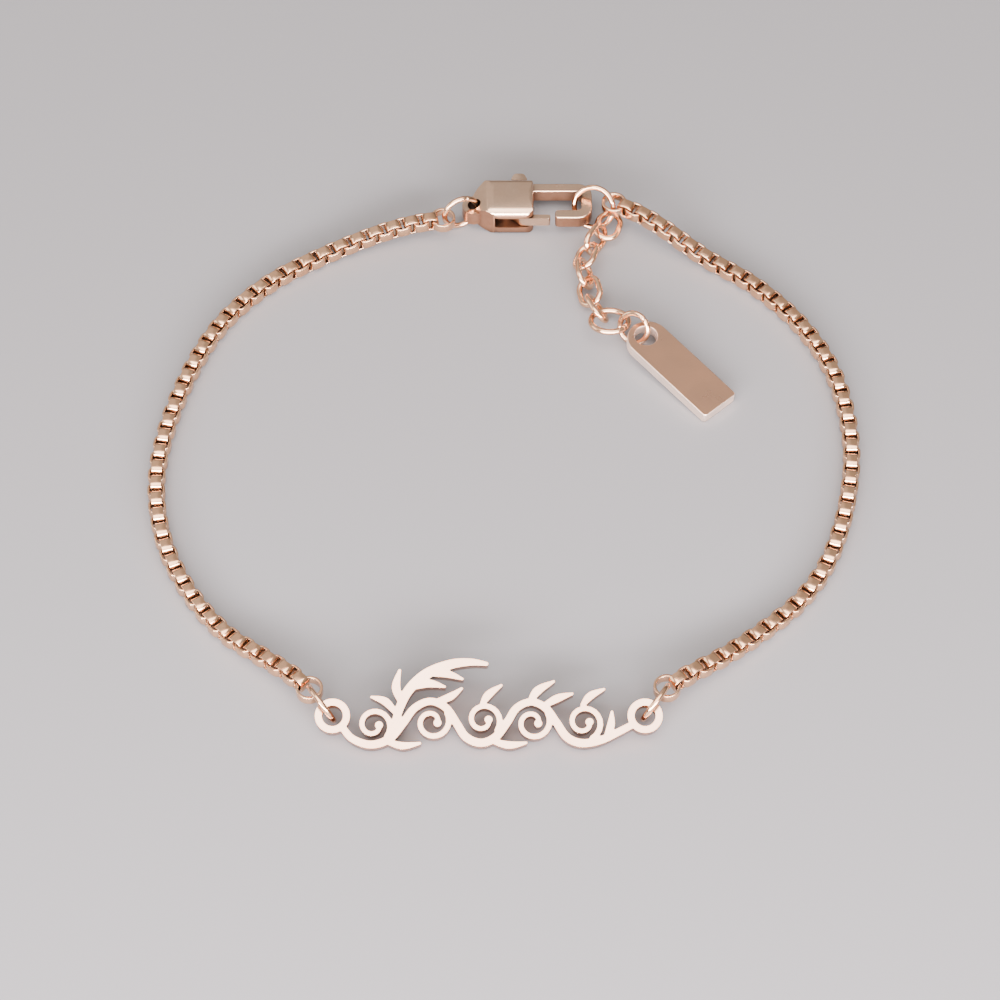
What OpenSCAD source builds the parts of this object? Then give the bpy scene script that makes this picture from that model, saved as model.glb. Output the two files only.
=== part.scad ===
/* [Chain] */
// Outer side of one square link
link_side = 1.4; // [1.38:0.01:1.42]
// Wall of a link
link_wall = 0.18; // [0.16:0.01:0.18]
// Free space between a link's strip and the link around it
link_play = 0.13; // [0.12:0.01:0.14]
// Space between neighbouring face links
link_gap = 0.17; // [0.15:0.01:0.19]
// Outer radius of a link's corners
link_corner = 0.36; // [0.3:0.02:0.4]

/* [Chain ends] */
// Outer diameter of the short tube that ends a chain
end_ring_d = 2.1; // [2.05:0.05:2.2]
// Wall of that tube
end_ring_wall = 0.22; // [0.18:0.01:0.24]
// From the middle of that tube to the middle of the first link
chain_start = 1.1; // [1.08:0.01:1.12]

/* [Nameplate] */
// Distance between the two eyelets
plate_l = 23.6; // [23.4:0.1:23.8]
// Height of the plume above the eyelets
plate_h = 4.35; // [4:0.05:4.5]
// Full width of a stroke
stroke_w = 1.1; // [1:0.05:1.2]
// Thickness of the plate
plate_t = 1.0; // [0.8:0.05:1.1]
// Outer diameter of an eyelet
eyelet_d = 2.65; // [2.6:0.05:2.8]
// Hole of an eyelet
eyelet_hole_d = 1.6; // [1.5:0.05:1.7]
// Lean of the plate
plate_lean = 20; // [18:1:22]

/* [Jump rings] */
// Outer diameter of the rings beside the plate
plate_ring_d = 3.56; // [3.5:0.02:3.6]
// Outer diameter of the ring behind the clasp
clasp_ring_d = 3.4; // [3.3:0.02:3.44]
// Outer diameter of the ring that the clasp closes on
catch_ring_d = 3.9; // [3.86:0.02:3.94]
// Outer diameter of the ring that holds the tag
tag_ring_d = 3.0; // [2.96:0.02:3.04]
// Wire of the jump rings
ring_wire = 0.46; // [0.4:0.02:0.48]
// Seam between the two ends of a ring's wire, in degrees
ring_seam = 3; // [1:1:6]

/* [Clasp] */
// Length of the clasp's body in front of its ring hole
clasp_body_l = 5.0; // [4.9:0.05:5.1]
// Width of the body
clasp_body_w = 3.9; // [3.8:0.05:4]
// Thickness of the body
clasp_t = 2.8; // [2.7:0.05:2.9]
// Diameter of the round end that holds the ring
boss_d = 2.0; // [1.9:0.05:2.1]
// Ring hole
boss_hole_d = 1.1; // [1:0.05:1.2]
// Reach of the hook from the ring hole
hook_reach = 9.94; // [9.8:0.02:10]
// Bar of the hook
hook_bar = 0.88; // [0.8:0.02:0.9]
// Thickness of the hook
hook_t = 1.25; // [1.2:0.05:1.3]
// Opening between the body and the tip of the hook
gate_opening = 1.81; // [1.7:0.01:1.9]
// Thickness of the lever
lever_t = 0.9; // [0.8:0.05:0.95]
// Free space on each side of the lever
lever_play = 0.1; // [0.08:0.01:0.12]
// Diameter of the pivot pin
pin_d = 0.7; // [0.6:0.05:0.74]

/* [Extension] */
// Length of an extension link
extension_l = 3.1; // [3.06:0.02:3.14]
// Width of an extension link
extension_w = 2.35; // [2.3:0.01:2.38]
// Wire of the extension links and of the last ring
extension_wire = 0.5; // [0.44:0.02:0.5]
// Outer diameter of the last ring
extension_ring_d = 3.6; // [3.56:0.02:3.64]

/* [Tag] */
// Length from the hole to the straight end
tag_l = 8.9; // [8.6:0.05:9.2]
// Width
tag_w = 3.5; // [3.4:0.05:3.6]
// Thickness
tag_t = 1.0; // [0.9:0.05:1.05]
// Hole
tag_hole_d = 1.9; // [1.8:0.05:1.95]

/* [Hidden] */
gold = "#CDA594";
pale_gold = "#E3C2B4";

// Shift that puts the origin under the middle of the bracelet
middle_y = 0.26;

// Places on the table; each step to a next piece is in shares of the ring or link that it leads from
plate_at = [-1.27, -25.98, 1.4];
plate_ring_heading = 33;
plate_ring_lean = 17;
left_ring_at = plate_at - [plate_l / 2, 0, 0] + plate_ring_d * [-0.244, 0.275, 0.101];
right_ring_at = plate_at + [plate_l / 2, 0, 0] + plate_ring_d * [0.228, 0.303, 0.101];
front_left_at = left_ring_at + plate_ring_d * [-0.27, 0.396, -0.073];
front_right_at = right_ring_at + plate_ring_d * [0.261, 0.41, -0.073];

clasp_at = [-2.6, 24.5, 0];
clasp_ring_at = clasp_at + [-1.12, -0.46, clasp_t / 2 + 0.32];
clasp_ring_turn = [0, 85, -67];
back_left_at = clasp_ring_at + clasp_ring_d * [-0.441, -0.179, -0.094];
catch_ring_at = clasp_at + [hook_reach + 0.13, 0.11, clasp_t / 2 + 0.26];
catch_ring_turn = [55.5, 0, -23];
back_right_at = catch_ring_at + catch_ring_d * [0.436, -0.036, 0.138];

extension_steps = [
    [0.39, -0.503, -0.2], [-0.342, -0.49, 0.029], [-0.274, -0.565, -0.042],
    [-0.048, -0.613, 0.016], [0.129, -0.613, -0.016], [0.177, -0.597, 0.016]
];
extension_turn = [[4, -2, 72], [66, 0, 58], [-35, 0, 73], [55, 0, 94], [-35, 0, 102], [56, 0, 115]];
function extension_at(i) =
    (i == 0 ? catch_ring_at : extension_at(i - 1)) + extension_l * extension_steps[i];
extension_ring_at = extension_at(5) + extension_ring_d * [0.286, -0.444, 0.083];
extension_ring_turn = [-16, 0, 0];
tag_ring_at = extension_ring_at + extension_ring_d * [0.547, -0.217, 0.022];
tag_ring_turn = [61, 0, -33];
tag_at = flat(tag_ring_at) + tag_ring_d * [0.31, -0.333];
tag_heading = -48.2;
tag_lean = 4.6;
hole_offset = 0.35;
tag_corner = 0.3;

// Route of the chains' middle, from a front end ring to a back one; its ends follow their rings
chain_z = 0.72;
left_points = [
    [-14.9, -23.59, 1.5], [-16.5, -22.1, 1.5], [-18.8, -20.3, 1.2], [-21.8, -17.8, 0.8],
    [-24.6, -14.1, chain_z], [-26.8, -9.4, chain_z], [-27.75, -4.0, chain_z],
    [-27.3, 1.6, chain_z], [-25.6, 7.9, chain_z], [-23.1, 13.1, chain_z],
    [-19.4, 17.2, chain_z], [-15.0, 20.1, 0.78], [-10.8, 22.0, 1.15], [-7.7, 22.95, 1.4], [-5.22, 23.43, 1.4]
];
right_points = [
    [12.27, -23.44, 1.5], [14.2, -22.1, 1.5], [16.6, -20.45, 1.2], [19.6, -18.0, 0.8],
    [23.0, -14.8, chain_z], [25.5, -10.7, chain_z], [27.2, -5.0, chain_z],
    [27.75, 1.0, chain_z], [26.8, 7.4, chain_z], [24.4, 12.5, chain_z],
    [20.8, 16.75, chain_z], [16.8, 19.65, 0.9], [13.4, 22.0, 1.85], [11.2, 23.45, 2.19], [9.17, 24.47, 2.2]
];
function led(p, first, last) = [
    for (i = [0:len(p) - 1]) let (share = i / (len(p) - 1))
        p[i] + (1 - share) * (first - p[0]) + share * (last - p[len(p) - 1])
];
left_route = led(left_points, front_left_at, back_left_at);
right_route = led(right_points, front_right_at, back_right_at);

// Sizes that follow from the ones above
route_steps = 8;
link_pitch = (link_side + link_gap) / 2;
link_strip = link_side - 2 * link_wall - 2 * link_play;
edge_ease = 0.08;
overlap = 0.3;
past = 1;
deep = 20;

// Smooth line through chosen points, whatever a point holds
function blend(a, b, c, d, t) =
    (2 * b + (c - a) * t + (2 * a - 5 * b + 4 * c - d) * t * t + (3 * b - a - 3 * c + d) * t * t * t) / 2;
function smooth_line(p, steps) = [
    for (i = [0:len(p) - 2]) for (k = [0:steps - 1])
        blend(p[max(i - 1, 0)], p[i], p[i + 1], p[min(i + 2, len(p) - 1)], k / steps),
    p[len(p) - 1]
];
function run_lengths(p) = [
    for (i = 0, s = 0; i < len(p); i = i + 1, s = s + (i < len(p) ? norm(p[i] - p[i - 1]) : 0)) s
];
function point_at(p, runs, s) =
    [for (axis = [0:2]) lookup(s, [for (i = [0:len(p) - 1]) [runs[i], p[i][axis]]])];

module on_table() {
    translate([0, middle_y, 0]) children();
}

// Outline with an arc at each corner: a point is [x, y, radius]
function flat(p) = [p[0], p[1]];
function unit(v) = v / norm(v);
function corner_arc(a, b, c, r, steps) =
    let (u = unit(a - b), v = unit(c - b), half = acos(u * v) / 2,
        middle = b + unit(u + v) * r / sin(half),
        first = b + u * r / tan(half) - middle, last = b + v * r / tan(half) - middle,
        start = atan2(first[1], first[0]), sweep = (atan2(last[1], last[0]) - start + 540) % 360 - 180)
    [for (k = [0:steps]) middle + r * [cos(start + sweep * k / steps), sin(start + sweep * k / steps)]];
function rounded(p, steps) = [
    for (i = [0:len(p) - 1])
        let (a = flat(p[(i + len(p) - 1) % len(p)]), b = flat(p[i]), c = flat(p[(i + 1) % len(p)]))
        each p[i][2] > 0 ? corner_arc(a, b, c, p[i][2], steps) : [b]
];
function square_corners(side, r) = [for (c = [[-1, -1], [1, -1], [1, 1], [-1, 1]]) [each c * side / 2, r]];

// Round wire bent into a ring, with a seam
module wire_ring(outer_d, wire, seam) {
    rotate([0, 0, seam / 2])
        rotate_extrude(angle = 360 - seam, $fn = 72)
            translate([(outer_d - wire) / 2, 0]) circle(d = wire, $fn = 24);
}

// Round wire bent into a long link
module long_link(l, w, wire) {
    bend_r = (w - wire) / 2;
    straight = l - w;
    for (side = [-1, 1]) {
        translate([side * straight / 2, 0, 0]) rotate([0, 0, -side * 90])
            rotate_extrude(angle = 180, $fn = 48) translate([bend_r, 0]) circle(d = wire, $fn = 24);
        translate([-straight / 2, side * bend_r, 0]) rotate([0, 90, 0])
            cylinder(d = wire, h = straight, $fn = 24);
    }
}

// One strip link; its opening looks up
module strip_link() {
    inner_side = link_side - 2 * link_wall;
    outer = rounded(square_corners(link_side, link_corner), 3);
    inner = rounded(square_corners(inner_side, link_corner - link_wall), 2);
    linear_extrude(link_strip, center = true)
        polygon(concat(outer, inner), [
            [for (i = [0:len(outer) - 1]) i],
            [for (i = [0:len(inner) - 1]) len(outer) + i]
        ]);
}

// Strip links along a route; every other one is turned on its side
module box_chain(route) {
    line = smooth_line(route, route_steps);
    runs = run_lengths(line);
    links_run = runs[len(runs) - 1] - 2 * chain_start;
    pairs = round(links_run / (2 * link_pitch));
    for (i = [0:2 * pairs]) {
        s = chain_start + links_run * i / (2 * pairs);
        ahead = point_at(line, runs, s + link_side / 2) - point_at(line, runs, s - link_side / 2);
        translate(point_at(line, runs, s))
            rotate([0, -atan2(ahead[2], norm(flat(ahead))), atan2(ahead[1], ahead[0])])
                rotate([i % 2 == 0 ? 90 : 0, 0, 0]) strip_link();
    }
}

module chain_end(at) {
    color(gold) on_table() translate(at) difference() {
        cylinder(d = end_ring_d, h = link_strip, center = true, $fn = 48);
        cylinder(d = end_ring_d - 2 * end_ring_wall, h = link_strip + past, center = true, $fn = 48);
    }
}

module chain_left() {
    color(gold) on_table() box_chain(left_route);
}

module chain_right() {
    color(gold) on_table() box_chain(right_route);
}

// Flourish of the plate: points are [share of length, share of height, share of stroke width]
vine = [
    [0.032, -0.195, 0.46], [0.064, -0.402, 0.5], [0.123, -0.51, 0.54], [0.182, -0.409, 0.56],
    [0.225, -0.138, 0.54], [0.263, 0.138, 0.52], [0.314, 0.257, 0.5], [0.364, 0.138, 0.52],
    [0.398, -0.138, 0.54], [0.428, -0.379, 0.56], [0.475, -0.478, 0.56], [0.521, -0.379, 0.56],
    [0.559, -0.115, 0.54], [0.589, 0.138, 0.52], [0.636, 0.248, 0.5], [0.682, 0.138, 0.52],
    [0.716, -0.115, 0.54], [0.75, -0.379, 0.56], [0.797, -0.483, 0.56], [0.856, -0.432, 0.54],
    [0.911, -0.294, 0.5], [0.962, -0.149, 0.46]
];
plume = [
    [0.195, -0.322, 0.46], [0.212, 0.092, 0.56], [0.244, 0.46, 0.66], [0.301, 0.747, 0.72],
    [0.377, 0.915, 0.66], [0.441, 0.956, 0.5], [0.492, 0.924, 0.28]
];
leaves = [
    [[0.22, 0.23, 0.34], [0.203, 0.506, 0.58], [0.214, 0.805, 0.2]],
    [[0.203, 0.046, 0.32], [0.169, 0.253, 0.54], [0.125, 0.333, 0.18]],
    [[0.25, 0.494, 0.32], [0.305, 0.575, 0.56], [0.358, 0.517, 0.18]],
    [[0.305, 0.747, 0.32], [0.364, 0.747, 0.52], [0.415, 0.655, 0.18]],
    [[0.331, 0.253, 0.32], [0.375, 0.333, 0.52], [0.413, 0.483, 0.18]],
    [[0.479, 0.207, 0.32], [0.5, 0.379, 0.54], [0.54, 0.54, 0.18]],
    [[0.631, 0.241, 0.32], [0.657, 0.448, 0.58], [0.708, 0.609, 0.18]],
    [[0.674, 0.172, 0.32], [0.72, 0.31, 0.54], [0.767, 0.391, 0.18]],
    [[0.801, 0.195, 0.32], [0.826, 0.356, 0.52], [0.869, 0.471, 0.18]],
    [[0.873, -0.402, 0.32], [0.89, -0.172, 0.52], [0.894, 0.069, 0.18]],
    [[0.174, -0.455, 0.32], [0.225, -0.529, 0.5], [0.28, -0.487, 0.18]],
    [[0.508, -0.437, 0.32], [0.564, -0.517, 0.52], [0.619, -0.478, 0.18]]
];
// A volute is [share of length, share of height, radius as share of height, first angle, turn]
volute_steps = 24;
volute_close = 0.68;
volute_w = [0.38, 0.3];
bud_d = 0.54 * stroke_w;
volutes = [
    [0.131, -0.166, 0.313, -40, 400], [0.318, -0.11, 0.313, 32, -400], [0.481, -0.074, 0.313, -36, 400],
    [0.64, -0.12, 0.313, 32, -400], [0.803, -0.115, 0.322, -62, 425]
];
function sized(p) = [p[0] * plate_l, p[1] * plate_h, p[2] * stroke_w];
function volute_line(v) = [
    for (k = [0:volute_steps])
        let (share = k / volute_steps, a = v[3] + v[4] * share)
        let (r = v[2] * plate_h * (1 - volute_close * share))
        [v[0] * plate_l + r * cos(a), v[1] * plate_h + r * sin(a), stroke_w * (volute_w * [1 - share, share])]
];
function stroke_edge(p, side) = [
    for (i = [0:len(p) - 1])
        let (along = unit(flat(p[min(i + 1, len(p) - 1)]) - flat(p[max(i - 1, 0)])))
        flat(p[i]) + side * p[i][2] / 2 * [-along[1], along[0]]
];
function reversed(p) = [for (i = [len(p) - 1:-1:0]) p[i]];

module stroke(line) {
    polygon(concat(stroke_edge(line, 1), reversed(stroke_edge(line, -1))));
    for (p = [line[0], line[len(line) - 1]]) translate(flat(p)) circle(d = p[2], $fn = 16);
}

module flourish() {
    for (points = concat([vine, plume], leaves))
        stroke(smooth_line([for (p = points) sized(p)], 6));
    for (line = [for (v = volutes) volute_line(v)]) {
        stroke(line);
        translate(flat(line[volute_steps])) circle(d = bud_d, $fn = 24);
    }
    for (x = [0, plate_l]) translate([x, 0]) circle(d = eyelet_d, $fn = 48);
}

module nameplate() {
    color(pale_gold) on_table() translate(plate_at) rotate([plate_lean, 0, 0]) difference() {
        translate([-plate_l / 2, 0, 0]) linear_extrude(plate_t, center = true)
            offset(r = -edge_ease, $fn = 16) offset(delta = edge_ease) flourish();
        for (side = [-1, 1]) translate([side * plate_l / 2, 0, 0])
            cylinder(d = eyelet_hole_d, h = plate_t + past, center = true, $fn = 32);
    }
}

module plate_ring(at, heading) {
    color(gold) on_table() translate(at) rotate([0, 90 - plate_ring_lean, heading])
        wire_ring(plate_ring_d, ring_wire, ring_seam);
}

// Clasp, seen from above: the ring hole is at its origin and the hook points to +X
mid_z = clasp_t / 2;
boss_t = 1.3;
pin_x = 0.6 * clasp_body_l;
pin_y = 0.55;
pin_skin = 0.2;
pin_gap = 0.02;
slot_t = lever_t + 2 * lever_play;
crown = 0.12;
crown_r = 8;
edge_r = 0.72;
foot_r = 0.35;
nose_r = 2;
end_r = 0.35;
slot_x = 0.35 * clasp_body_l;
spine_x = 0.88 * clasp_body_l;
spine_y = 0.9;
hook_back = 0.63 * clasp_body_w;
hook_front = -0.345 * clasp_body_w;
body_front = -0.37 * clasp_body_w;
body_back = 2 / 3 * clasp_body_w;
hook_tip_x = clasp_body_l + gate_opening;
gate_gap = 0.4;
hub_d = 1.9;
neck_w = 0.8;
gate_bar = 0.45;
gate_y = hook_front + 0.05;
gate_tip_x = hook_tip_x - gate_gap;
gate_root = [[-0.3, -0.25, 0], [0.6, -0.25, 0.2]];
gate_bend = [0.9, 1.2];
hook_r = 1.2;
hook_inner_r = 0.4;
hook_tip_r = 0.3;
pin_play = 0.05;
thumb_x = pin_x + 0.8;
thumb_y = body_back + 0.25;
thumb_t = 1.3;
thumb_outline = [[-0.72, 0, 0.1], [0.72, 0, 0.1], [0.42, 0.7, 0.38], [-0.42, 0.7, 0.38]];
nose_tip = -0.06;
body_outline = [
    [nose_tip, 0.16, 0], [0.06, 0.43, 1], [0.2, 0.62, 1], [0.44, 0.667, 1.8], [0.93, 0.667, 0.5],
    [1, 0.52, 0.4], [1, -0.26, 0.4], [0.88, -0.37, 0.6], [0.38, -0.37, 2], [0.14, -0.26, 1],
    [nose_tip, -0.1, 0]
];

module flat_prism(t) {
    translate([0, 0, mid_z]) linear_extrude(t, center = true) children();
}

// Body: its outline, cut to a crowned cross-section and to a nose that thins to the boss
module body_block() {
    nose_x = 0.28 * clasp_body_l;
    tip_x = nose_tip * clasp_body_l;
    boss_z = (clasp_t - boss_t) / 2;
    section = [
        [body_front, 0, foot_r], [body_back, 0, foot_r], [body_back, clasp_t - crown, edge_r],
        [(body_front + body_back) / 2, clasp_t, crown_r], [body_front, clasp_t - crown, edge_r]
    ];
    side = [
        [tip_x, boss_z, 0], [nose_x, 0, nose_r], [clasp_body_l, 0, end_r],
        [clasp_body_l, clasp_t, end_r], [nose_x, clasp_t, nose_r], [tip_x, clasp_t - boss_z, 0]
    ];
    intersection() {
        flat_prism(clasp_t)
            polygon(rounded([for (p = body_outline) [p[0] * clasp_body_l, p[1] * clasp_body_w, p[2]]], 4));
        rotate([90, 0, 90]) linear_extrude(deep, center = true) polygon(rounded(section, 6));
        rotate([90, 0, 0]) linear_extrude(deep, center = true) polygon(rounded(side, 5));
    }
}

// Hook: one bent bar from the back of the body round to the tip
module hook() {
    outer = [
        [spine_x, hook_back, 0], [hook_reach, hook_back, hook_r], [hook_reach, hook_front, hook_r],
        [hook_tip_x, hook_front, hook_tip_r], [hook_tip_x, hook_front + hook_bar, hook_tip_r],
        [hook_reach - hook_bar, hook_front + hook_bar, hook_inner_r],
        [hook_reach - hook_bar, hook_back - hook_bar, hook_inner_r],
        [spine_x, hook_back - hook_bar, 0]
    ];
    flat_prism(hook_t) polygon(rounded(outer, 5));
}

module clasp_body() {
    color(gold) on_table() translate(clasp_at) difference() {
        union() {
            body_block();
            flat_prism(boss_t) circle(d = boss_d, $fn = 48);
            hook();
        }
        flat_prism(boss_t + past) circle(d = boss_hole_d, $fn = 32);
        flat_prism(slot_t) {
            translate([slot_x, -deep / 2]) square([spine_x - slot_x, deep]);
            translate([slot_x, -deep]) square([clasp_body_l + overlap - slot_x, deep + spine_y]);
        }
        translate([pin_x, pin_y, pin_skin])
            cylinder(d = pin_d + 2 * pin_gap, h = clasp_t - 2 * pin_skin, $fn = 32);
    }
}

module clasp_pin() {
    color(gold) on_table() translate(clasp_at) translate([pin_x, pin_y, pin_skin + pin_gap])
        cylinder(d = pin_d, h = clasp_t - 2 * (pin_skin + pin_gap), $fn = 32);
}

// Lever: hub on the pin, thumb piece at the back, gate bar at the front
module clasp_lever() {
    gate = concat([for (p = gate_root) p + [pin_x, 0, 0]], [
        [pin_x + gate_bend[1], gate_y + gate_bar, 0.3], [gate_tip_x, gate_y + gate_bar, 0.2],
        [gate_tip_x, gate_y, 0.2], [pin_x + gate_bend[0], gate_y, 0.5]
    ]);
    color(pale_gold) on_table() translate(clasp_at) difference() {
        flat_prism(lever_t) {
            translate([pin_x, pin_y]) circle(d = hub_d, $fn = 48);
            translate([thumb_x - neck_w / 2, pin_y]) square([neck_w, thumb_y - pin_y + overlap]);
            polygon(rounded(gate, 4));
        }
        flat_prism(lever_t + past) translate([pin_x, pin_y]) circle(d = pin_d + 2 * pin_play, $fn = 32);
    }
    color(pale_gold) on_table() translate(clasp_at) flat_prism(thumb_t)
        polygon(rounded([for (p = thumb_outline) [thumb_x + p[0], thumb_y + p[1], p[2]]], 4));
}

module clasp_ring() {
    color(gold) on_table() translate(clasp_ring_at) rotate(clasp_ring_turn)
        wire_ring(clasp_ring_d, ring_wire, ring_seam);
}

module catch_ring() {
    color(gold) on_table() translate(catch_ring_at) rotate(catch_ring_turn)
        wire_ring(catch_ring_d, ring_wire, ring_seam);
}

module extension_link(i) {
    color(gold) on_table() translate(extension_at(i)) rotate(extension_turn[i])
        long_link(extension_l, extension_w, extension_wire);
}

module extension_end_ring() {
    color(gold) on_table() translate(extension_ring_at) rotate(extension_ring_turn)
        wire_ring(extension_ring_d, extension_wire, ring_seam);
}

module tag_ring() {
    color(gold) on_table() translate(tag_ring_at) rotate(tag_ring_turn)
        wire_ring(tag_ring_d, ring_wire, ring_seam);
}

// Tag: rests on its straight end, and its ring end is held a little up
module tag() {
    corners = [
        [hole_offset, -tag_w / 2, 0], [tag_l, -tag_w / 2, tag_corner],
        [tag_l, tag_w / 2, tag_corner], [hole_offset, tag_w / 2, 0]
    ];
    lift = tag_l * sin(tag_lean) + tag_t / 2 * cos(tag_lean);
    color(pale_gold) on_table() translate([each tag_at, lift]) rotate([0, tag_lean, tag_heading])
        difference() {
            linear_extrude(tag_t, center = true) {
                polygon(rounded(corners, 4));
                translate([hole_offset, 0]) circle(d = tag_w, $fn = 64);
            }
            cylinder(d = tag_hole_d, h = tag_t + past, center = true, $fn = 32);
        }
}

nameplate();
plate_ring(left_ring_at, plate_ring_heading);  // plate_ring_left
plate_ring(right_ring_at, 180 - plate_ring_heading);  // plate_ring_right
chain_end(front_left_at);  // chain_end_front_left
chain_end(front_right_at);  // chain_end_front_right
chain_end(back_left_at);  // chain_end_back_left
chain_end(back_right_at);  // chain_end_back_right
chain_left();
chain_right();
clasp_ring();
clasp_body();
clasp_pin();
clasp_lever();
catch_ring();
extension_link(0);  // extension_link_1
extension_link(1);  // extension_link_2
extension_link(2);  // extension_link_3
extension_link(3);  // extension_link_4
extension_link(4);  // extension_link_5
extension_link(5);  // extension_link_6
extension_end_ring();
tag_ring();
tag();
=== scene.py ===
# Rose gold bracelet: box chain, openwork plate, lobster clasp, extension chain and tag
import bpy
import bmesh
import math
import numpy as np
from mathutils import Matrix, Vector


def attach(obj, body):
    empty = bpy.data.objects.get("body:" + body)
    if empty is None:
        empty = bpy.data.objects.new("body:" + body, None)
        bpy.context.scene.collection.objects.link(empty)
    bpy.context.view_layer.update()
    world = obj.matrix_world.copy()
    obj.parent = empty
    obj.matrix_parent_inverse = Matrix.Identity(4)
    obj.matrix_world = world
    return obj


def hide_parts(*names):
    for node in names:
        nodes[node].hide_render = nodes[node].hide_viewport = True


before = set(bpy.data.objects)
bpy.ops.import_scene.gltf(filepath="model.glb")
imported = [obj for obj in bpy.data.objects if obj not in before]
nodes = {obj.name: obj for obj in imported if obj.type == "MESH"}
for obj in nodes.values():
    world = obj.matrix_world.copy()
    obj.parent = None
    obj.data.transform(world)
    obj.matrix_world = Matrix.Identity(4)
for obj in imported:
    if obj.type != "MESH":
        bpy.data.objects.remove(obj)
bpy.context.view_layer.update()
mm = 0.001
skyward = Vector((0, 0, 1))

# camera, a long lens looking down on the table; target and distance in mm, clip in metres
cameraSettings = {"target": (-0.42, -4.92, 0.7), "distance": 269.8, "elevation": 54.0, "lens": 122.4,
                  "sensor": 36, "clipNear": 0.01, "clipFar": 10}


def makeCamera(s):
    data = bpy.data.cameras.new("camera")
    camera = bpy.data.objects.new("camera", data)
    bpy.context.scene.collection.objects.link(camera)
    data.sensor_width = s["sensor"]
    data.lens = s["lens"]
    data.clip_start = s["clipNear"]
    data.clip_end = s["clipFar"]
    tilt = math.radians(s["elevation"])
    back = Vector((0, -math.cos(tilt), math.sin(tilt)))
    camera.location = (Vector(s["target"]) + back * s["distance"]) * mm
    camera.rotation_euler = (math.pi / 2 - tilt, 0, 0)
    bpy.context.scene.camera = camera


makeCamera(cameraSettings)
print("camera placed")


# colours are sRGB hex, the shader wants linear
def toLinear(hexText):
    parts = [int(hexText[i:i + 2], 16) / 255 for i in (1, 3, 5)]
    return tuple(c / 12.92 if c <= 0.04045 else ((c + 0.055) / 1.055) ** 2.4 for c in parts) + (1.0,)


# one node: its kind, its settings and what feeds its sockets; a number picks a socket by its place
def addNode(tree, kind, settings=None, links=None):
    node = tree.nodes.new(kind)
    for key, value in (settings or {}).items():
        if isinstance(key, str) and hasattr(node, key):
            setattr(node, key, value)
        else:
            node.inputs[key].default_value = value
    for key, source in (links or {}).items():
        tree.links.new(source, node.inputs[key])
    return node


def newMaterial(name):
    material = bpy.data.materials.new(name)
    material.use_nodes = True
    material.node_tree.nodes.clear()
    return material, material.node_tree


# what all the metals share: the part of each noise that counts, and how open a corner has to be
# before its painted shade fades out
plating = {"patchDetail": 3.0, "patchRoughness": 0.55, "hazeFrom": 0.3, "hazeTo": 0.7, "tintFrom": 0.35,
           "tintTo": 0.75, "grainDetail": 2.0, "grainRoughness": 0.6, "paintedShadeFrom": 0.25, "paintedShadeTo": 0.9,
           "paintedShadeSamples": 6}


# polished plating over brass: metallic 1, default IOR, the colour does the work.
# hazeLow to hazeHigh is the roughness between a clean patch and a handled one.
def platedMetal(name, own):
    s = {**plating, **own}
    material, tree = newMaterial(name)
    place = addNode(tree, "ShaderNodeTexCoord").outputs["Object"]
    # soft patches of handling, about a millimetre wide on wire and up to four on the flat pieces
    patches = addNode(tree, "ShaderNodeTexNoise",
                      {"Scale": 1 / (s["patchMm"] * mm), "Detail": s["patchDetail"],
                       "Roughness": s["patchRoughness"]}, {"Vector": place})
    haze = addNode(tree, "ShaderNodeMapRange",
                   {"From Min": s["hazeFrom"], "From Max": s["hazeTo"], "To Min": s["hazeLow"],
                    "To Max": s["hazeHigh"]}, {"Value": patches.outputs["Fac"]})
    shade = addNode(tree, "ShaderNodeMapRange",
                    {"From Min": s["tintFrom"], "From Max": s["tintTo"], "To Min": 0.0,
                     "To Max": s["tintShare"]}, {"Value": patches.outputs["Fac"]})
    # the mix node's colour sockets are 6 and 7, and its colour output is 2
    tint = addNode(tree, "ShaderNodeMix",
                   {"data_type": "RGBA", 6: toLinear(s["colour"]), 7: toLinear(s["deepColour"])},
                   {0: shade.outputs["Result"]})
    # painted shade: in corners and between pieces an occlusion test mixes a duller colour into the plating
    occlusion = addNode(tree, "ShaderNodeAmbientOcclusion",
                    {"samples": s["paintedShadeSamples"], "Distance": s["paintedShadeReachMm"] * mm})
    unshadedShare = addNode(tree, "ShaderNodeMapRange", {"From Min": s["paintedShadeFrom"], "From Max": s["paintedShadeTo"]},
                       {"Value": occlusion.outputs["AO"]})
    skin = addNode(tree, "ShaderNodeMix", {"data_type": "RGBA", 6: toLinear(s["paintedShadeColour"])},
                   {0: unshadedShare.outputs["Result"], 7: tint.outputs[2]})
    # what the surface was made by: rolled, drawn, cut or brushed lines, or a tumbled skin
    stretched = addNode(tree, "ShaderNodeMapping", {"Scale": s["stretch"]}, {"Vector": place})
    grain = addNode(tree, "ShaderNodeTexNoise",
                    {"Scale": 1 / (s["grainMm"] * mm), "Detail": s["grainDetail"],
                     "Roughness": s["grainRoughness"]}, {"Vector": stretched.outputs["Vector"]})
    bump = addNode(tree, "ShaderNodeBump",
                   {"Strength": s["grainStrength"], "Distance": s["grainDepthMm"] * mm},
                   {"Height": grain.outputs["Fac"]})
    shader = addNode(tree, "ShaderNodeBsdfPrincipled", {"Metallic": 1.0},
                     {"Base Color": skin.outputs[2], "Roughness": haze.outputs["Result"],
                      "Normal": bump.outputs["Normal"]})
    addNode(tree, "ShaderNodeOutputMaterial", None, {"Surface": shader.outputs["BSDF"]})
    return material


# rose gold is gold with copper in it: it mirrors red almost whole, green less and blue least.
# rolled strip: bright, with a faint ripple from the rollers
# each metal gives the colour of the painted shade in its corners and how far that shade reaches
rolledStrip = platedMetal("rolledRoseGoldStrip", {
    "colour": "#F0BE96", "deepColour": "#DDA078", "tintShare": 0.5, "patchMm": 1.3,
    "paintedShadeColour": "#CAB09D", "paintedShadeReachMm": 0.5, "hazeLow": 0.1, "hazeHigh": 0.2,
    "stretch": (1, 1, 1), "grainMm": 0.12, "grainStrength": 0.25, "grainDepthMm": 0.01})
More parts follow.
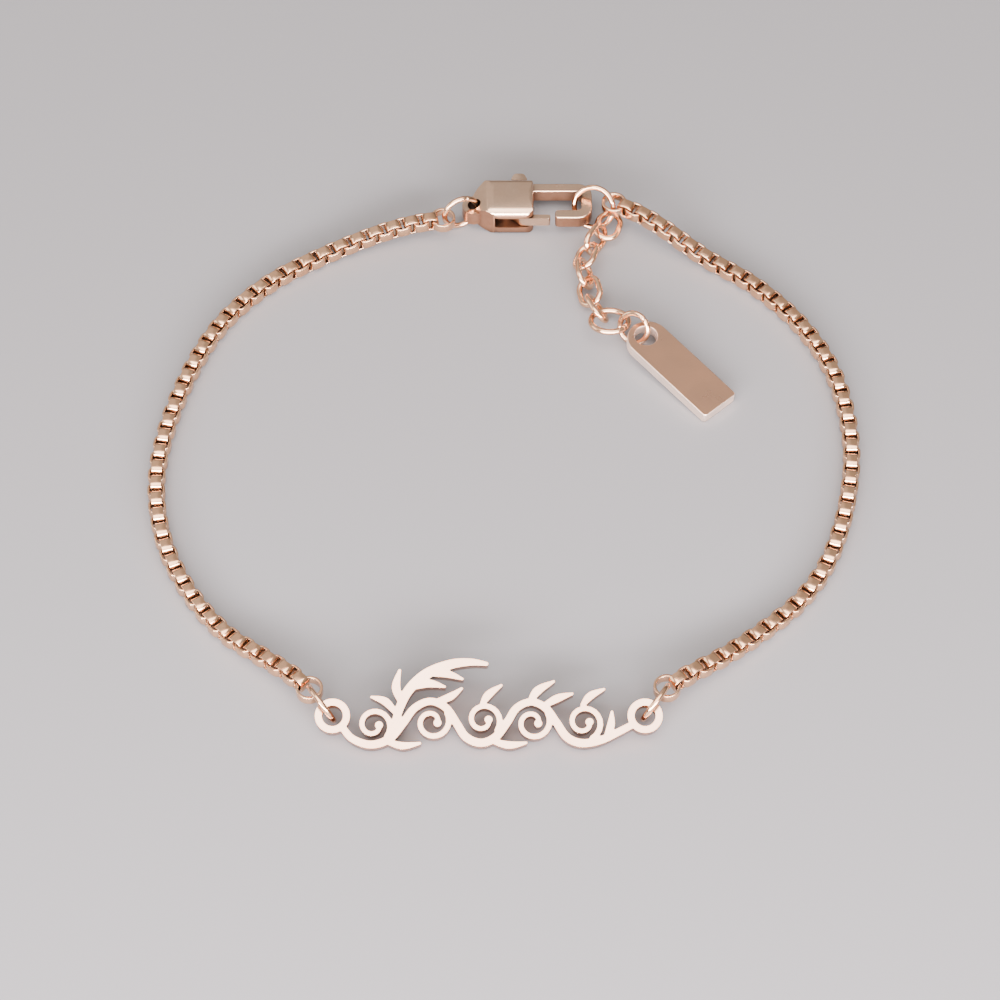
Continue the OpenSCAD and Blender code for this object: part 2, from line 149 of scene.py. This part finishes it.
# drawn wire: the brightest of them, and it shows the lamps as long lines
drawnWire = platedMetal("drawnRoseGoldWire", {
    "colour": "#F2C29D", "deepColour": "#DFA47E", "tintShare": 0.5, "patchMm": 0.9,
    "paintedShadeColour": "#CAB09D", "paintedShadeReachMm": 0.4, "hazeLow": 0.1, "hazeHigh": 0.22,
    "stretch": (1, 1, 1), "grainMm": 0.1, "grainStrength": 0.3, "grainDepthMm": 0.01})
# cast and tumbled: soft dimples, with dark painted shade in the recesses
castClasp = platedMetal("tumbledCastRoseGold", {
    "colour": "#E4BFA2", "deepColour": "#D0A486", "tintShare": 0.5, "patchMm": 1.6,
    "paintedShadeColour": "#5A504B", "paintedShadeReachMm": 1.0, "hazeLow": 0.14, "hazeHigh": 0.28,
    "stretch": (1, 1, 1), "grainMm": 0.25, "grainStrength": 0.25, "grainDepthMm": 0.015})
# a darker copy of the clasp metal for its upright walls and slot floor, painted shade; also more matte than
# the polished top
paintedShadeClaspWall = platedMetal("paintedShadeClaspRoseGoldWall", {
    "colour": "#BC8C70", "deepColour": "#99694F", "tintShare": 0.7, "patchMm": 1.2,
    "paintedShadeColour": "#3E3632", "paintedShadeReachMm": 1.0, "hazeLow": 0.26, "hazeHigh": 0.4,
    "stretch": (1, 1, 1), "grainMm": 0.2, "grainStrength": 0.4, "grainDepthMm": 0.02})
# lapped flat: a pale, even mirror
lappedFace = platedMetal("lappedRoseGoldFace", {
    "colour": "#FCD3B8", "deepColour": "#F0BE9E", "tintShare": 0.6, "patchMm": 3.0,
    "paintedShadeColour": "#B08F80", "paintedShadeReachMm": 0.2, "hazeLow": 0.12, "hazeHigh": 0.2,
    "stretch": (0.3, 1, 1), "grainMm": 0.15, "grainStrength": 0.2, "grainDepthMm": 0.006})
# the plate's walls keep fine upright lines from the cut, and take a darker copy of the plate metal: painted
# shade
cutAndShadedWall = platedMetal("cutAndShadedRoseGoldWall", {
    "colour": "#CB957A", "deepColour": "#A06D54", "tintShare": 0.8, "patchMm": 0.8,
    "paintedShadeColour": "#6A5046", "paintedShadeReachMm": 0.5, "hazeLow": 0.14, "hazeHigh": 0.26,
    "stretch": (1, 1, 0.12), "grainMm": 0.09, "grainStrength": 0.5, "grainDepthMm": 0.012})
# the tag's brushed lines blur what it mirrors
brushedTag = platedMetal("brushedRoseGoldTag", {
    "colour": "#CFA083", "deepColour": "#BA8869", "tintShare": 0.7, "patchMm": 4.0,
    "paintedShadeColour": "#94786A", "paintedShadeReachMm": 0.3, "hazeLow": 0.26, "hazeHigh": 0.36,
    "stretch": (0.16, 1, 1), "grainMm": 0.07, "grainStrength": 0.35, "grainDepthMm": 0.008})
# the tag's satin rim spreads the light of the soft boxes; its colour, far paler than the tag face, is a
# painted highlight
satinHighlightRim = platedMetal("satinPaintedHighlightRim", {
    "colour": "#FBE3D4", "deepColour": "#F2CFBB", "tintShare": 0.4, "patchMm": 1.5,
    "paintedShadeColour": "#94786A", "paintedShadeReachMm": 0.2, "hazeLow": 0.42, "hazeHigh": 0.52,
    "stretch": (1, 1, 1), "grainMm": 0.1, "grainStrength": 0.3, "grainDepthMm": 0.008})
print("metals mixed")


# middle of a cloud of points, its longest, middle and thinnest direction, and its extents along them
def ownAxes(points):
    points = np.asarray(points, float)
    vectors = np.linalg.eigh(np.cov((points - points.mean(0)).T))[1]
    axes = vectors[:, ::-1].T.copy()
    spread = points @ axes.T
    low, high = spread.min(0), spread.max(0)
    axes[2] = np.cross(axes[0], axes[1])
    middle = axes[0] * (low[0] + high[0]) / 2 + axes[1] * (low[1] + high[1]) / 2
    middle = middle + vectors[:, 0] * (low[2] + high[2]) / 2
    return Vector(middle), [Vector(a) for a in axes], high - low


def nodePoints(node):
    return [v.co for v in nodes[node].data.vertices]


def poseFrom(middle, along, across, up):
    pose = Matrix((along, across, up)).transposed().to_4x4()
    pose.translation = middle
    return pose


# a tube with any section, closed in a ring or with two capped ends; path holds (place, outward, up)
def sweep(vertices, faces, path, section, closed, pose):
    start = len(vertices)
    n = len(section)
    for place, outward, up in path:
        for out, rise in section:
            vertices.append(pose @ (place + outward * out + up * rise))
    rings = len(path)
    for i in range(rings if closed else rings - 1):
        a = start + i * n
        b = start + (i + 1) % rings * n
        for k in range(n):
            m = (k + 1) % n
            faces.append((a + k, a + m, b + m, b + k))
    if not closed:
        faces.append(tuple(range(start + n - 1, start - 1, -1)))
        faces.append(tuple(range(start + (rings - 1) * n, start + rings * n)))


# faces turn softly into each other below the angle and meet at a crisp edge above it
def softenShading(work, smoothBelow, pickFace=None):
    bmesh.ops.recalc_face_normals(work, faces=work.faces)
    for edge in work.edges:
        edge.smooth = len(edge.link_faces) != 2 or edge.calc_face_angle(0) < math.radians(smoothBelow)
    for face in work.faces:
        face.smooth = True
        face.material_index = pickFace(face) if pickFace else 0


# a finished mesh becomes a piece that rides on a body and stands for one node
def addPiece(node, name, work, mesh, materials, body):
    work.to_mesh(mesh)
    work.free()
    piece = bpy.data.objects.new(name, mesh)
    bpy.context.scene.collection.objects.link(piece)
    for material in materials:
        mesh.materials.append(material)
    # broad flats keep their own direction, only the narrow roundings between them turn
    even = piece.modifiers.new("evenShading", "WEIGHTED_NORMAL")
    even.keep_sharp = True
    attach(piece, body)
    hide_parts(node)


# a piece of the bracelet made of swept tubes
def addSwept(node, name, vertices, faces, material, smoothBelow):
    mesh = bpy.data.meshes.new(name)
    mesh.from_pydata([tuple(v) for v in vertices], [], faces)
    work = bmesh.new()
    work.from_mesh(mesh)
    softenShading(work, smoothBelow)
    addPiece(node, name, work, mesh, [material], "bracelet")


def circleSection(wire, sides):
    return [(wire / 2 * math.cos(2 * math.pi * k / sides), wire / 2 * math.sin(2 * math.pi * k / sides))
            for k in range(sides)]


# box with rounded corners, as (out, rise)
def boxSection(thick, wide, radius, steps):
    points = []
    for cx, cy, start in ((1, 1, 0), (-1, 1, 90), (-1, -1, 180), (1, -1, 270)):
        for k in range(steps + 1):
            a = math.radians(start + 90 * k / steps)
            points.append((cx * (thick / 2 - radius) + radius * math.cos(a),
                           cy * (wide / 2 - radius) + radius * math.sin(a)))
    return points


def roundPath(radius, angles):
    path = []
    for a in angles:
        outward = Vector((math.cos(a), math.sin(a), 0))
        path.append((outward * radius, outward, skyward))
    return path


# jump rings: bent wire whose two ends meet at a fine seam; seam and seamAt in degrees
jumpRings = {"sides": 18, "turns": 96, "seam": 1.6, "endTaper": 0.14, "smoothBelow": 50,
             "seamAt": {"plate_ring_left": 200, "plate_ring_right": 330, "clasp_ring": 70, "catch_ring": 25,
                        "extension_end_ring": 140, "tag_ring": 60}}


def makeJumpRing(node, s):
    middle, axes, extents = ownAxes(nodePoints(node))
    up = axes[2] if axes[2].z > 0 else -axes[2]
    along = skyward.cross(up).normalized()
    pose = poseFrom(middle, along, up.cross(along), up)
    pose = pose @ Matrix.Rotation(math.radians(s["seamAt"][node]), 4, "Z")
    wire = extents[2]
    angles = [math.radians(s["seam"] / 2 + (360 - s["seam"]) * k / s["turns"]) for k in range(s["turns"] + 1)]
    vertices, faces = [], []
    sweep(vertices, faces, roundPath((extents[1] - wire) / 2, angles), circleSection(wire, s["sides"]), False,
          pose)
    # the two cut ends are a little thinner than the wire
    n = s["sides"]
    for first in (0, s["turns"] * n):
        ring = vertices[first:first + n]
        centre = sum(ring, Vector()) / n
        vertices[first:first + n] = [centre + (corner - centre) * (1 - s["endTaper"]) for corner in ring]
    addSwept(node, node + "_wire", vertices, faces, drawnWire, s["smoothBelow"])


for ringNode in jumpRings["seamAt"]:
    makeJumpRing(ringNode, jumpRings)
print("jump rings bent")

# extension: soldered long links of round wire
extension = {"count": 6, "sides": 18, "bendSteps": 26, "straightSteps": 3, "smoothBelow": 60}


def stadiumPath(length, width, bendSteps, straightSteps):
    path = []
    half = (length - width) / 2
    for side in (1, -1):
        for k in range(bendSteps + 1):
            a = math.radians(-90 + 180 * k / bendSteps) + (0 if side == 1 else math.pi)
            outward = Vector((math.cos(a), math.sin(a), 0))
            path.append((Vector((side * half, 0, 0)) + outward * width / 2, outward, skyward))
        for k in range(1, straightSteps):
            share = k / straightSteps
            outward = Vector((0, side, 0))
            path.append((Vector((side * half * (1 - 2 * share), side * width / 2, 0)), outward, skyward))
    return path


def makeLongLink(node, s):
    middle, axes, extents = ownAxes(nodePoints(node))
    wire = extents[2]
    path = stadiumPath(extents[0] - wire, extents[1] - wire, s["bendSteps"], s["straightSteps"])
    vertices, faces = [], []
    sweep(vertices, faces, path, circleSection(wire, s["sides"]), True, poseFrom(middle, *axes))
    addSwept(node, node + "_wire", vertices, faces, drawnWire, s["smoothBelow"])


for number in range(1, extension["count"] + 1):
    makeLongLink("extension_link_" + str(number), extension)
print("extension linked")

# box chain: each strip is bent into a square, every other one turned on its side.
# lengths in mm, bow in degrees; wallLean is how far a face may lean off the hole and still be a side
chain = {"wall": 0.18, "stripWidth": 0.86, "cornerRadius": 0.48, "edgeRound": 0.045, "edgeSteps": 2,
         "bow": 2.5, "cornerSteps": 8, "flatSteps": 4, "wallLean": 0.1, "weld": 0.0001, "smoothBelow": 60}


# a bent strip is never quite flat: each side bows out a little between its corners
def squarePath(side, radius, bow, cornerSteps, flatSteps):
    path = []
    occlusion = (side / 2 - radius) / (1 - math.cos(bow) + math.sin(bow))
    for quarter in range(4):
        turn = quarter * math.pi / 2
        ahead = Vector((math.cos(turn), math.sin(turn), 0))
        aside = Vector((-math.sin(turn), math.cos(turn), 0))
        arcs = [(ahead * (side / 2 - occlusion - radius), occlusion + radius, -bow, bow, flatSteps),
                ((ahead + aside) * occlusion * math.sin(bow), radius, bow, math.pi / 2 - bow, cornerSteps)]
        for centre, arcRadius, first, last, steps in arcs:
            for k in range(steps):
                a = turn + first + (last - first) * k / steps
                outward = Vector((math.cos(a), math.sin(a), 0))
                path.append((centre + outward * arcRadius, outward, skyward))
    return path


# loose solids of a node, each as its points and the direction and area of its faces
def looseSolids(node, weld):
    work = bmesh.new()
    work.from_mesh(nodes[node].data)
    bmesh.ops.remove_doubles(work, verts=work.verts, dist=weld)
    work.verts.ensure_lookup_table()
    seen = set()
    solids = []
    for first in work.verts:
        if first.index in seen:
            continue
        seen.add(first.index)
        todo, members = [first], []
        while todo:
            vertex = todo.pop()
            members.append(vertex)
            for edge in vertex.link_edges:
                other = edge.other_vert(vertex)
                if other.index not in seen:
                    seen.add(other.index)
                    todo.append(other)
        faces = {face for vertex in members for face in vertex.link_faces}
        solids.append(([v.co.copy() for v in members], [(f.normal.copy(), f.calc_area()) for f in faces]))
    work.free()
    return solids


def makeChain(node, s):
    vertices, faces = [], []
    section = boxSection(s["wall"] * mm, s["stripWidth"] * mm, s["edgeRound"] * mm, s["edgeSteps"])
    for points, flats in looseSolids(node, s["weld"] * mm):
        middle = ownAxes(points)[0]
        # the hole runs along the link's thinnest direction, and the largest wall faces one side
        axis = Vector(np.linalg.eigh(np.cov(np.array(points).T))[1][:, 0])
        walls = [flat for flat in flats if abs(flat[0].dot(axis)) < s["wallLean"]]
        side = max(walls, key=lambda flat: flat[1])[0]
        side = (side - axis * side.dot(axis)).normalized()
        across = axis.cross(side)
        spread = [(p - middle).dot(side) for p in points]
        outer = max(spread) - min(spread)
        path = squarePath(outer - s["wall"] * mm, (s["cornerRadius"] - s["wall"] / 2) * mm,
                          math.radians(s["bow"]), s["cornerSteps"], s["flatSteps"])
        sweep(vertices, faces, path, section, True, poseFrom(middle, side, across, axis))
    print(node, "has", len(faces), "faces")
    addSwept(node, node + "_links", vertices, faces, rolledStrip, s["smoothBelow"])


for chainNode in ("chain_left", "chain_right"):
    makeChain(chainNode, chain)

# short tubes that end the chains, in mm
tubes = {"wall": 0.22, "edgeRound": 0.05, "edgeSteps": 3, "turns": 64, "smoothBelow": 60}


def makeTube(node, s):
    middle, axes, extents = ownAxes(nodePoints(node))
    path = roundPath((extents[0] - s["wall"] * mm) / 2,
                     [2 * math.pi * k / s["turns"] for k in range(s["turns"])])
    section = boxSection(s["wall"] * mm, extents[2], s["edgeRound"] * mm, s["edgeSteps"])
    vertices, faces = [], []
    sweep(vertices, faces, path, section, True, Matrix.Translation(middle))
    addSwept(node, node + "_tube", vertices, faces, drawnWire, s["smoothBelow"])


for end in ("front_left", "front_right", "back_left", "back_right"):
    makeTube("chain_end_" + end, tubes)
print("chains and their ends done")

# what a rounded piece has where its own settings say nothing else, in mm and degrees:
# edges sharper than "from" are rounded, flats below flatBelow are joined before that
plainRounding = {"weld": 0.0005, "flatBelow": 0.6, "profile": 0.5, "cuts": 0, "wideFromX": math.inf,
                 "wideRound": 0}


# a solid's own mesh with its edges rounded; worked on in millimetres, where the tools are safe
def roundedCopy(node, name, own, materials, body, pickFace=None):
    s = {**plainRounding, **own}
    work = bmesh.new()
    work.from_mesh(nodes[node].data)
    work.transform(Matrix.Scale(1 / mm, 4))
    bmesh.ops.remove_doubles(work, verts=work.verts, dist=s["weld"])
    bmesh.ops.dissolve_limit(work, angle_limit=math.radians(s["flatBelow"]), verts=work.verts,
                             edges=work.edges)
    # a crowned top is cut across, so that its shading runs evenly
    for k in range(s["cuts"]):
        across = s["cutFrom"] + (s["cutTo"] - s["cutFrom"]) * k / s["cuts"]
        bmesh.ops.bisect_plane(work, geom=work.verts[:] + work.edges[:] + work.faces[:], dist=s["weld"],
                               plane_co=(across, 0, 0), plane_no=(1, 0, 0))
    sharp = [e for e in work.edges
             if len(e.link_faces) == 2 and e.calc_face_angle(0) > math.radians(s["from"])]
    wide = [e for e in sharp if max(v.co.x for v in e.verts) > s["wideFromX"]]
    plain = [e for e in sharp if e not in wide]
    for edges, radius in ((wide, s["wideRound"]), (plain, s["round"])):
        # the first rounding can take an edge away from the second
        bmesh.ops.bevel(work, geom=[e for e in edges if e.is_valid], offset=radius, segments=s["steps"],
                        profile=s["profile"], affect="EDGES", clamp_overlap=True)
    softenShading(work, s["smoothBelow"], pickFace)
    work.transform(Matrix.Scale(mm, 4))
    addPiece(node, name, work, bpy.data.meshes.new(name), materials, body)


# plate: face and back are lapped, walls show the cut; it leans back by "lean" degrees
plate = {"from": 35, "round": 0.09, "steps": 3, "smoothBelow": 38, "lean": 20, "faceShare": 0.6}


# faces that don't face out take the darker wall metal, painted shade
def plateFace(face):
    tilt = math.radians(plate["lean"])
    facing = abs(face.normal.dot(Vector((0, -math.sin(tilt), math.cos(tilt)))))
    return 0 if facing > plate["faceShare"] else 1


roundedCopy("nameplate", "plate_flourish", plate, [lappedFace, cutAndShadedWall], "bracelet",
            plateFace)

# clasp: top and bands take the polished metal, upright walls and the floor of the slot its darker copy,
# painted shade.
# the hook, to the right of wideFromX, may be rounded more than the case
claspCase = {"from": 40, "round": 0.12, "steps": 4, "smoothBelow": 40, "flatBelow": 0.1, "wideFromX": 2.5,
             "wideRound": 0.2, "cuts": 12, "cutFrom": -1.2, "cutTo": 2.3, "slotFloor": 1.0, "topShare": 0.45}
claspPin = {"from": 40, "round": 0.05, "steps": 2, "smoothBelow": 40}
claspGate = {"from": 30, "round": 0.1, "steps": 3, "smoothBelow": 35}


# the slot floor and the upright walls take the darker copy: painted shade
def claspFace(face):
    inSlot = face.normal.z > claspCase["topShare"] and face.calc_center_median().z < claspCase["slotFloor"]
    return 1 if inSlot or abs(face.normal.z) < claspCase["topShare"] else 0


roundedCopy("clasp_body", "clasp_case", claspCase, [castClasp, paintedShadeClaspWall], "bracelet", claspFace)
roundedCopy("clasp_pin", "clasp_rivet", claspPin, [drawnWire], "bracelet")
roundedCopy("clasp_lever", "clasp_gate", claspGate, [castClasp], "lever")

# tag: brushed faces, satin rim with a painted highlight
tagPlate = {"from": 30, "round": 0.07, "steps": 3, "smoothBelow": 35, "faceShare": 0.9}


def tagFace(face):
    return 0 if abs(face.normal.z) > tagPlate["faceShare"] else 1


roundedCopy("tag", "tag_plate", tagPlate, [brushedTag, satinHighlightRim], "bracelet", tagFace)
print("plate, clasp and tag finished")

# studio: pale matte table in a grey room that darkens towards the skirting, and large soft boxes.
# From and To are heights, or sides, of a direction of length 1; places and sizes in metres, power in watts
studio = {"floorColour": "#797678", "floorRoughness": 0.6, "floorHalf": 0.6, "roomColour": "#F4F0ED",
          "horizon": 0.22, "wall": 0.8, "ceiling": 2.1, "wallFrom": 0.1, "wallTo": 0.6, "ceilingFrom": 0.86,
          "ceilingTo": 0.95, "leftShare": 1.25, "rightShare": 0.75, "sideFrom": -0.1, "sideTo": 0.1}
softBoxes = [
    {"name": "overheadBox", "place": (0.0, -0.16, 0.5), "size": (0.7, 0.56), "power": 7.0,
     "colour": "#FFF8F2"},
    {"name": "frontBox", "place": (0.0, -0.62, 0.2), "size": (0.9, 0.34), "power": 3.2,
     "colour": "#FFFAF6"},
    {"name": "lowFrontBox", "place": (0.0, -0.19, 0.08), "size": (0.4, 0.05), "power": 4.0,
     "colour": "#FFFCFF"},
    {"name": "leftBox", "place": (-0.6, 0.05, 0.24), "size": (0.4, 0.3), "power": 1.2,
     "colour": "#FFFCFA"}]


# painted board, matte: nothing mirrors in it
def makeFloor(s):
    material, tree = newMaterial("matteGreyTable")
    shader = addNode(tree, "ShaderNodeBsdfPrincipled",
                     {"Base Color": toLinear(s["floorColour"]), "Roughness": s["floorRoughness"]})
    addNode(tree, "ShaderNodeOutputMaterial", None, {"Surface": shader.outputs["BSDF"]})
    half = s["floorHalf"]
    mesh = bpy.data.meshes.new("table")
    corners = [(-half, -half, 0), (half, -half, 0), (half, half, 0), (-half, half, 0)]
    mesh.from_pydata(corners, [], [(0, 1, 2, 3)])
    mesh.materials.append(material)
    floor = bpy.data.objects.new("table", mesh)
    bpy.context.scene.collection.objects.link(floor)


def makeSoftBox(s):
    data = bpy.data.lights.new(s["name"], "AREA")
    data.shape = "RECTANGLE"
    data.size, data.size_y = s["size"]
    data.energy = s["power"]
    data.color = toLinear(s["colour"])[:3]
    lamp = bpy.data.objects.new(s["name"], data)
    bpy.context.scene.collection.objects.link(lamp)
    lamp.location = s["place"]
    lamp.rotation_euler = (-Vector(s["place"])).to_track_quat("-Z", "Y").to_euler()


# the room brightens from the skirting to the wall, again to the ceiling, and is darker on the right
def makeRoom(s):
    world = bpy.data.worlds.new("studioRoom")
    bpy.context.scene.world = world
    world.use_nodes = True
    tree = world.node_tree
    tree.nodes.clear()
    direction = addNode(tree, "ShaderNodeTexCoord").outputs["Generated"]
    parts = addNode(tree, "ShaderNodeSeparateXYZ", None, {"Vector": direction}).outputs
    wall = addNode(tree, "ShaderNodeMapRange",
                   {"interpolation_type": "SMOOTHSTEP", "From Min": s["wallFrom"], "From Max": s["wallTo"],
                    "To Min": s["horizon"], "To Max": s["wall"]}, {"Value": parts["Z"]})
    ceiling = addNode(tree, "ShaderNodeMapRange",
                      {"interpolation_type": "SMOOTHSTEP", "From Min": s["ceilingFrom"],
                       "From Max": s["ceilingTo"], "To Min": 0.0, "To Max": s["ceiling"] - s["wall"]},
                      {"Value": parts["Z"]})
    side = addNode(tree, "ShaderNodeMapRange",
                   {"interpolation_type": "SMOOTHSTEP", "From Min": s["sideFrom"], "From Max": s["sideTo"],
                    "To Min": s["leftShare"], "To Max": s["rightShare"]}, {"Value": parts["X"]})
    height = addNode(tree, "ShaderNodeMath", {"operation": "ADD"},
                     {0: wall.outputs["Result"], 1: ceiling.outputs["Result"]})
    strength = addNode(tree, "ShaderNodeMath", {"operation": "MULTIPLY"},
                       {0: height.outputs["Value"], 1: side.outputs["Result"]})
    room = addNode(tree, "ShaderNodeBackground", {"Color": toLinear(s["roomColour"])},
                   {"Strength": strength.outputs["Value"]})
    addNode(tree, "ShaderNodeOutputWorld", None, {"Surface": room.outputs["Background"]})


makeFloor(studio)
makeRoom(studio)
for box in softBoxes:
    makeSoftBox(box)
print("studio lit")

bpy.context.view_layer.update()
